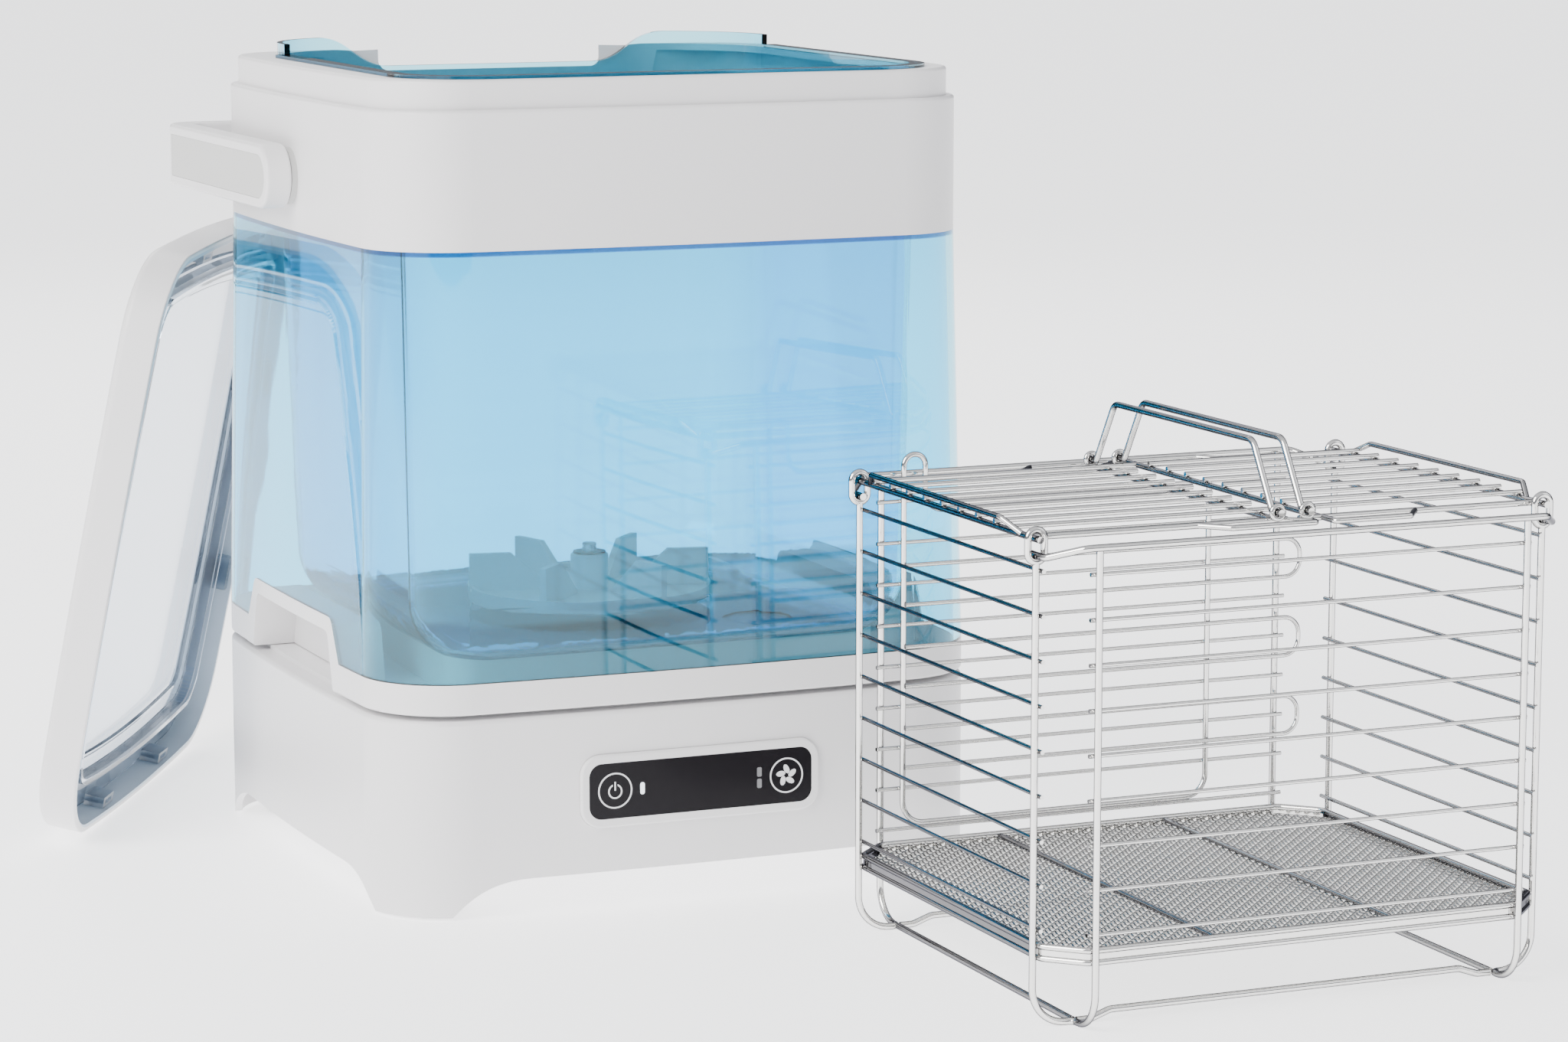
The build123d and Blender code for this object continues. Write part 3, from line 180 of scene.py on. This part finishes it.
def moulded_plastic(name, colour, shade, polish, texture=0.000012):
    """Injection-moulded plastic: even colour, faint cloud, fine spark-eroded grain."""
    material, tree, shader, place = fresh_material(name)
    mottle(tree, place, shader, colour, shade, 14.0)
    grain(tree, place, shader, 2600.0, texture, polish, 0.04)
    shader.inputs["IOR"].default_value = 1.5
    return material


def machined_steel(name, colour, shade, polish):
    """Plated or stainless steel with a faint drawn grain."""
    material, tree, shader, place = fresh_material(name)
    mottle(tree, place, shader, colour, shade, 60.0)
    grain(tree, place, shader, 1800.0, 0.000008, polish, 0.06)
    shader.inputs["Metallic"].default_value = 1.0
    return material


def sheen_painted_wire(name, painted_highlight_colour, painted_reflection_colour, polish):
    """Round polished wire with painted light: a painted highlight where it faces the camera, fading into
    painted dark reflections on its sides, by the angle of view.
    """
    material, tree, shader, place = fresh_material(name)
    # Painted light: the base colour runs from a bright painted highlight seen square on to dark painted
    # reflections at grazing angles.
    facing = shader_node(tree, "ShaderNodeLayerWeight", -600, 300, Blend=0.5)
    turn = shader_node(tree, "ShaderNodeMapRange", -400, 300, interpolation_type="SMOOTHSTEP")
    turn.inputs["From Min"].default_value = 0.12
    turn.inputs["From Max"].default_value = 0.72
    tone = shader_node(tree, "ShaderNodeMix", -200, 300, data_type="RGBA")
    tone.inputs["A"].default_value = (*painted_highlight_colour, 1)
    tone.inputs["B"].default_value = (*painted_reflection_colour, 1)
    tree.links.new(facing.outputs["Facing"], turn.inputs["Value"])
    tree.links.new(turn.outputs["Result"], tone.inputs["Factor"])
    tree.links.new(tone.outputs["Result"], shader.inputs["Base Color"])
    grain(tree, place, shader, 1800.0, 0.000005, polish, 0.04)
    shader.inputs["Metallic"].default_value = 1.0
    shader.inputs["Specular Tint"].default_value = (0.42, 0.42, 0.44, 1)
    return material


white_colour, white_shade = (0.79, 0.78, 0.785), (0.76, 0.75, 0.76)
satin_white = moulded_plastic("satin_white_plastic", white_colour, white_shade, 0.34)
dress(satin_white, "base_housing", "bottom_tray")
foot_rubber = moulded_plastic("foot_rubber", (0.05, 0.05, 0.052), (0.035, 0.035, 0.037), 0.8, 0.00004)
dress(foot_rubber, "rubber_feet")
screw_steel = machined_steel("screw_steel", (0.55, 0.55, 0.56), (0.45, 0.45, 0.46), 0.3)
dress(screw_steel, "base_screws")

# ---------------------------------------------------------------- control panel
# A white bezel with a raised lip is plugged into the front wall and carries a smoked touch
# glass with printed key rings and signs, a lit bar beside the power key and two speed bars.
dress(satin_white, "control_bezel")
smoked_glass = moulded_plastic(
    "smoked_touch_glass", (0.008, 0.007, 0.009), (0.006, 0.005, 0.007), 0.22, 0.000002
)
smoked_glass.node_tree.nodes["Principled BSDF"].inputs["IOR"].default_value = 1.25
dress(smoked_glass, "control_glass")
legend_print = moulded_plastic("legend_print", (0.78, 0.78, 0.80), (0.70, 0.70, 0.72), 0.5)
dress(legend_print, "panel_legends")
bar_print = moulded_plastic("speed_bar_print", (0.20, 0.20, 0.21), (0.17, 0.17, 0.18), 0.5)
dress(bar_print, "speed_leds")
lit_bar = moulded_plastic("lit_bar", (0.9, 0.93, 0.95), (0.85, 0.9, 0.93), 0.4)
lit_bar.node_tree.nodes["Principled BSDF"].inputs["Emission Color"].default_value = (0.85, 0.93, 1, 1)
lit_bar.node_tree.nodes["Principled BSDF"].inputs["Emission Strength"].default_value = 1.2
dress(lit_bar, "status_led")
board_green = moulded_plastic("board_green", (0.02, 0.11, 0.05), (0.015, 0.08, 0.04), 0.35)
dress(board_green, "control_board", "power_board")

# ---------------------------------------------------------------- drive and power
# Inside the housing a motor hangs on a plate under the deck and turns a disc with four
# magnets. A small power board lies on the tray with its barrel socket in the rear wall.
plated_steel = machined_steel("plated_steel", (0.50, 0.51, 0.53), (0.42, 0.43, 0.45), 0.35)
dress(plated_steel, "drive_motor", "motor_bracket", "magnet_rotor")
dress(screw_steel, "motor_screws", "motor_shaft")
magnet_nickel = machined_steel("magnet_nickel", (0.6, 0.59, 0.57), (0.5, 0.49, 0.47), 0.18)
dress(magnet_nickel, "rotor_magnets", "impeller_magnets")
socket_black = moulded_plastic("socket_black", (0.02, 0.02, 0.02), (0.03, 0.03, 0.03), 0.5)
dress(socket_black, "dc_jack")


# ---------------------------------------------------------------- bucket
# A shallow white skirt with hand recesses carries a drafted clear blue sleeve and the white
# top band. The clear blue tub hangs from the band's ring and stands on a low cradle.
def clear_acrylic(name, colour, rim, polish, bend=1.45):
    """Tinted clear plastic: pale where it is seen square on, deeper towards its edges."""
    material, tree, shader, place = fresh_material(name)
    facing = shader_node(tree, "ShaderNodeLayerWeight", -600, 300, Blend=0.30)
    tone = shader_node(tree, "ShaderNodeMix", -200, 300, data_type="RGBA")
    tone.inputs["A"].default_value = (*colour, 1)
    tone.inputs["B"].default_value = (*rim, 1)
    tree.links.new(facing.outputs["Facing"], tone.inputs["Factor"])
    tree.links.new(tone.outputs["Result"], shader.inputs["Base Color"])
    grain(tree, place, shader, 30.0, 0.00001, polish, 0.01)
    shader.inputs["Transmission Weight"].default_value = 1.0
    shader.inputs["IOR"].default_value = bend
    return material


def paint_edge_shade(material, piece, shade_from_z, painted_shade_colour):
    """Painted shade: a dark tone above a level, for the dark line along the sheet's top edge where it
    meets the part above.
    """
    tree = material.node_tree
    shader = tree.nodes["Principled BSDF"]
    face_tone = shader.inputs["Base Color"].links[0].from_socket
    place = tree.nodes["Texture Coordinate"]
    level = shader_node(tree, "ShaderNodeSeparateXYZ", -600, 500)
    above = shader_node(tree, "ShaderNodeMapRange", -400, 500)
    own_level = (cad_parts[piece].matrix_world.inverted() @ Vector((0, 0, shade_from_z))).z
    above.inputs["From Min"].default_value = own_level - 0.0002
    above.inputs["From Max"].default_value = own_level + 0.0002
    painted_shade_mix = shader_node(tree, "ShaderNodeMix", 0, 400, data_type="RGBA")
    painted_shade_mix.inputs["B"].default_value = (*painted_shade_colour, 1)
    tree.links.new(place.outputs["Object"], level.inputs["Vector"])
    tree.links.new(level.outputs["Z"], above.inputs["Value"])
    tree.links.new(above.outputs["Result"], painted_shade_mix.inputs["Factor"])
    tree.links.new(face_tone, painted_shade_mix.inputs["A"])
    tree.links.new(painted_shade_mix.outputs["Result"], shader.inputs["Base Color"])


shell_blue = clear_acrylic("clear_blue_shell", (0.36, 0.86, 1.0), (0.0, 0.50, 0.86), 0.02)
# Painted shade: the top 1.7 mm of the blue sleeve is painted dark blue for the dark line where it meets
# the white band.
shell_top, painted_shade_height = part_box("outer_shell")[1].z, 0.0017
paint_edge_shade(shell_blue, "outer_shell", shell_top - painted_shade_height, (0.0, 0.16, 0.36))
tub_blue = clear_acrylic("clear_blue_tub", (0.38, 0.86, 1.0), (0.0, 0.47, 0.84), 0.02)
dress(satin_white, "bucket_skirt", "top_band", "tub_cradle")
dress(shell_blue, "outer_shell")
dress(tub_blue, "inner_tub")

# ---------------------------------------------------------------- stirrer
# A white impeller with six vanes runs on a fixed steel spindle in the tub floor. A dark
# washer and a grooved nut keep it on; four magnets are moulded into its disc.
dress(satin_white, "impeller")
washer_dark = moulded_plastic("washer_dark", (0.03, 0.03, 0.032), (0.04, 0.04, 0.042), 0.45)
dress(washer_dark, "spindle_washer", "impeller_bush")
dress(screw_steel, "impeller_spindle", "spindle_nut")

# ---------------------------------------------------------------- carry handle
# One white moulded bail on two flanged pins, with a grey strip let into each arm.
dress(satin_white, "carry_handle")
strip_grey = moulded_plastic("strip_grey", (0.56, 0.56, 0.55), (0.53, 0.53, 0.52), 0.42)
dress(strip_grey, "handle_inlays", "handle_pins")

# ---------------------------------------------------------------- lid
# A white rim with a clear window fixed under it; the window carries a sealing rib with a
# soft seal, and the rim has square snap catches on its inside.
lid_white = moulded_plastic("lid_rim_plastic", white_colour, white_shade, 0.34)


def tint_inside(material, piece, foot, turn, lean, half_sizes, bow, corner, skin, tint):
    """A bluish grey tone for what lies deeper than the outer skin of a rounded frame."""
    tree = material.node_tree
    shader = tree.nodes["Principled BSDF"]
    face_tone = shader.inputs["Base Color"].links[0].from_socket
    toward = Vector((math.cos(turn), -math.sin(turn), 0))
    up = Vector((0, 0, math.cos(lean))) + toward * math.sin(lean)
    out = Vector((0, 0, math.sin(lean))) - toward * math.cos(lean)
    own_frame = Matrix((up, out.cross(up), out)).transposed().to_4x4()
    own_frame.translation = Vector(foot) + up * half_sizes[0]
    own_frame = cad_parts[piece].matrix_world.inverted() @ own_frame
    local = shader_node(tree, "ShaderNodeMapping", -1500, 700, vector_type="TEXTURE")
    local.inputs["Location"].default_value = own_frame.translation
    local.inputs["Rotation"].default_value = own_frame.to_euler()
    tree.links.new(tree.nodes["Texture Coordinate"].outputs["Object"], local.inputs["Vector"])
    parts = shader_node(tree, "ShaderNodeSeparateXYZ", -1300, 700)
    tree.links.new(local.outputs["Vector"], parts.inputs["Vector"])

    def worked_out(kind, first, second, third=None):
        """One sum on positions, with fixed numbers or with the results of other sums."""
        step = shader_node(tree, "ShaderNodeMath", -1000, 700, operation=kind)
        for slot, value in enumerate((first, second, third)):
            if value is None:
                continue
            if isinstance(value, float):
                step.inputs[slot].default_value = value
            else:
                tree.links.new(value, step.inputs[slot])
        return step.outputs[0]

    reaches = []
    for own, other in ((0, 1), (1, 0)):
        across = worked_out("ABSOLUTE", parts.outputs[own], None)
        curve = worked_out("POWER", worked_out("ABSOLUTE", parts.outputs[other], None), 2.0)
        bulged = worked_out("MULTIPLY_ADD", curve, bow / half_sizes[other] ** 2, across)
        reaches.append(worked_out("SUBTRACT", bulged, half_sizes[own] - corner))
    outer = [worked_out("POWER", worked_out("MAXIMUM", reach, 0.0), 2.0) for reach in reaches]
    distance = worked_out("SQRT", worked_out("ADD", outer[0], outer[1]), None)
    inside = worked_out("LESS_THAN", distance, corner - skin)
    tone = shader_node(tree, "ShaderNodeMix", 0, 400, data_type="RGBA")
    tone.inputs["B"].default_value = (*tint, 1)
    tree.links.new(inside, tone.inputs["Factor"])
    tree.links.new(face_tone, tone.inputs["A"])
    tree.links.new(tone.outputs["Result"], shader.inputs["Base Color"])


lid_foot, lid_turn, lid_lean = (-0.14002, 0.13992, 0.00002), math.radians(29.9), math.radians(11.7)
lid_halves, lid_bow, lid_corner, lid_skin = (0.115, 0.110), 0.0038, 0.032, 0.0018
# The frame's inner faces get a bluish grey tone, and its outer skin stays white.
inner_face_tone = (0.46, 0.55, 0.64)
tint_inside(
    lid_white,
    "lid_frame",
    lid_foot,
    lid_turn,
    lid_lean,
    lid_halves,
    lid_bow,
    lid_corner,
    lid_skin,
    inner_face_tone,
)
dress(lid_white, "lid_frame")
inner_catch_blue = clear_acrylic("lid_inner_plastic", (0.72, 0.79, 0.86), inner_face_tone, 0.30, 1.30)
dress(inner_catch_blue, "lid_catches")
window_clear = clear_acrylic("clear_window", (0.90, 0.94, 1.0), (0.55, 0.64, 0.74), 0.05, 1.22)
dress(window_clear, "lid_window")
seal_grey = clear_acrylic("seal_silicone", (0.66, 0.72, 0.79), (0.48, 0.56, 0.64), 0.45, 1.35)
dress(seal_grey, "lid_seal")

# ---------------------------------------------------------------- basket
# Polished stainless wires, spot-welded: four bent corner legs with hinge eyes, top rails,
# nine thin wires on every side, foot rails, a floor rim with a woven mesh, and a hung frame.
# The basket wires carry a painted highlight and painted dark reflections in their base colour.
wire_steel = sheen_painted_wire("basket_wire_steel", (0.82, 0.81, 0.79), (0.11, 0.11, 0.12), 0.10)
dress(
    wire_steel,
    "corner_legs",
    "top_rails",
    "left_wires",
    "right_wires",
    "front_wires",
    "rear_wires",
    "foot_rails",
    "floor_rim",
    "rim_strip",
    "floor_bars",
    "hanging_frame",
    "hanging_rungs",
)

# The woven floor: warp and weft wires crimped over and under each other, two to a pitch,
# trimmed to the rim's cut corners. One pair of crimps is modelled and repeated for each way.
mesh_pitch, mesh_wire, corner_cut = 0.0024, 0.00036, 0.0148
mesh_low, mesh_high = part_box("floor_mesh")
mesh_middle = (mesh_low + mesh_high) / 2
mesh_size = mesh_high - mesh_low
# The woven mesh carries a painted highlight and painted dark reflections in its base colour.
mesh_steel = sheen_painted_wire("woven_mesh_steel", (0.78, 0.77, 0.74), (0.12, 0.12, 0.125), 0.14)


def woven_wires(name, crosswise):
    """All the crimped wires of one direction, as one trimmed piece."""
    along = mesh_size.x if crosswise else mesh_size.y
    across = mesh_size.y if crosswise else mesh_size.x
    crimps = int(along / mesh_pitch / 2) + 2
    pairs = int(across / mesh_pitch / 2) + 2
    lift = mesh_wire * 1.02 if crosswise else -mesh_wire * 1.02
    start = (-across / 2 - mesh_pitch / 2, -along / 2 - mesh_pitch / 2, lift)
    bpy.ops.mesh.primitive_circle_add(
        vertices=5, radius=mesh_wire, fill_type="NOTHING", location=start, rotation=(math.pi / 2, 0, 0)
    )
    strand = bpy.context.active_object
    strand.name = name
    bpy.ops.object.transform_apply(location=True, rotation=True, scale=True)
    bpy.ops.object.mode_set(mode="EDIT")
    bpy.ops.mesh.select_all(action="SELECT")
    for fall in (-2 * lift, 2 * lift):
        bpy.ops.mesh.extrude_region_move(TRANSFORM_OT_translate={"value": (0, mesh_pitch, fall)})
    bpy.ops.object.mode_set(mode="OBJECT")
    repeat = strand.modifiers.new("crimps", "ARRAY")
    repeat.use_relative_offset = False
    repeat.use_constant_offset = True
    repeat.constant_offset_displace = (0, 2 * mesh_pitch, 0)
    repeat.count = crimps
    repeat.use_merge_vertices = True
    repeat.merge_threshold = 0.00002
    bpy.ops.object.modifier_apply(modifier="crimps")
    bpy.ops.object.mode_set(mode="EDIT")
    bpy.ops.mesh.select_all(action="SELECT")
    bpy.ops.mesh.duplicate_move(TRANSFORM_OT_translate={"value": (mesh_pitch, -mesh_pitch, 0)})
    bpy.ops.object.mode_set(mode="OBJECT")
    row = strand.modifiers.new("row", "ARRAY")
    row.use_relative_offset = False
    row.use_constant_offset = True
    row.constant_offset_displace = (2 * mesh_pitch, 0, 0)
    row.count = pairs
    bpy.ops.object.modifier_apply(modifier="row")
    if crosswise:
        strand.rotation_euler = (0, 0, math.pi / 2)
    strand.location = mesh_middle
    bpy.ops.object.transform_apply(location=True, rotation=True, scale=True)
    trims = [((mesh_size.x / 2, 0), (1, 0)), ((-mesh_size.x / 2, 0), (-1, 0))]
    trims += [((0, mesh_size.y / 2), (0, 1)), ((0, -mesh_size.y / 2), (0, -1))]
    for side in (-1, 1):
        for end in (-1, 1):
            corner = (side * (mesh_size.x / 2 - corner_cut / 2), end * (mesh_size.y / 2 - corner_cut / 2))
            trims.append((corner, (side, end)))
    bpy.ops.object.mode_set(mode="EDIT")
    for spot, facing in trims:
        bpy.ops.mesh.select_all(action="SELECT")
        bpy.ops.mesh.bisect(
            plane_co=(mesh_middle.x + spot[0], mesh_middle.y + spot[1], mesh_middle.z),
            plane_no=(facing[0], facing[1], 0),
            use_fill=True,
            clear_outer=True,
        )
    bpy.ops.mesh.select_all(action="SELECT")
    bpy.ops.mesh.normals_make_consistent(inside=False)
    bpy.ops.object.mode_set(mode="OBJECT")
    bpy.ops.object.shade_smooth_by_angle(angle=math.radians(80))
    strand.data.materials.append(mesh_steel)
    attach(strand, "basket")
    bpy.ops.object.select_all(action="DESELECT")
    return strand


warp_wires = woven_wires("mesh_warp", False)
weft_wires = woven_wires("mesh_weft", True)
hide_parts("floor_mesh")

# ---------------------------------------------------------------- doors and their handles
# Two wire doors hinge in the corner eyes and meet in the middle. Each has finger tabs, nine
# rods and a folding wire handle in two small eyes.
dress(
    wire_steel,
    "left_door_frame",
    "left_door_rods",
    "left_door_handle",
    "right_door_frame",
    "right_door_rods",
    "right_door_handle",
)
